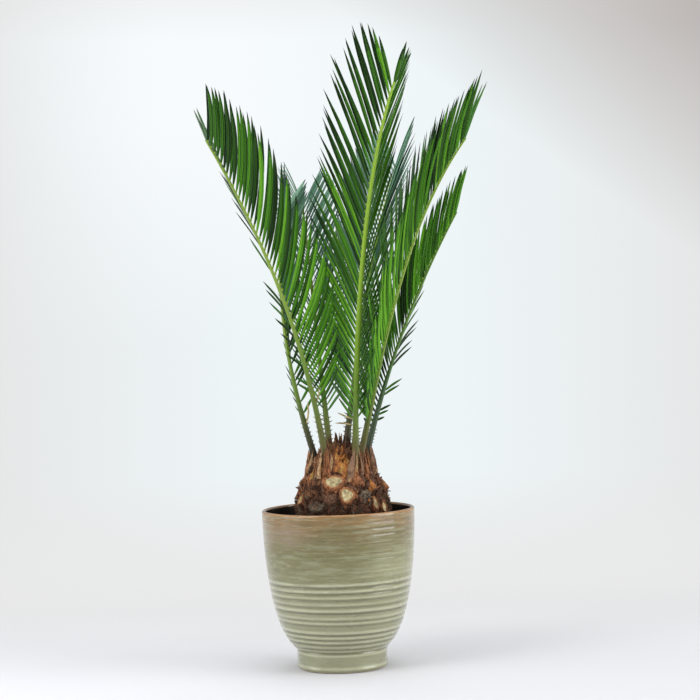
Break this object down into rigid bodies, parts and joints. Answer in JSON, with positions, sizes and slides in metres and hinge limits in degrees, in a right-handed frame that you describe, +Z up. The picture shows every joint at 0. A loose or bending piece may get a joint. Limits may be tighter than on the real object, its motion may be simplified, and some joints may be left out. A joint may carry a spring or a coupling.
{
  "type": "potted sago palm",
  "caption": "Young sago palm: a squat stem clothed in leaf bases, with arching feather fronds, growing in a ribbed glazed pot.",
  "frame": {"origin": "centre of the pot's flat underside, on the surface that it stands on", "axes": "+Z up, +X to the right and +Y to the back, as seen from the plant's front"},
  "size_m": [0.3052, 0.247, 0.6525],
  "materials": {
    "glaze": "satin sage-green glaze over stoneware, cream on the ridges and brown near the rim",
    "soil": "dark, moist potting soil",
    "felt": "matt brown fibres over leaf bases with tan cut ends",
    "leaf": "leathery, satin green leaflets on a yellow-green rib"
  },
  "bodies": {
    "root": {"pot": "glaze", "potting_soil": "soil", "stem": "felt", "frond_front_left": "leaf", "frond_front": "leaf", "frond_right": "leaf", "frond_right_rear": "leaf", "frond_back_right": "leaf", "frond_back_left": "leaf", "frond_left_rear": "leaf"}
  },
  "joints": []
}
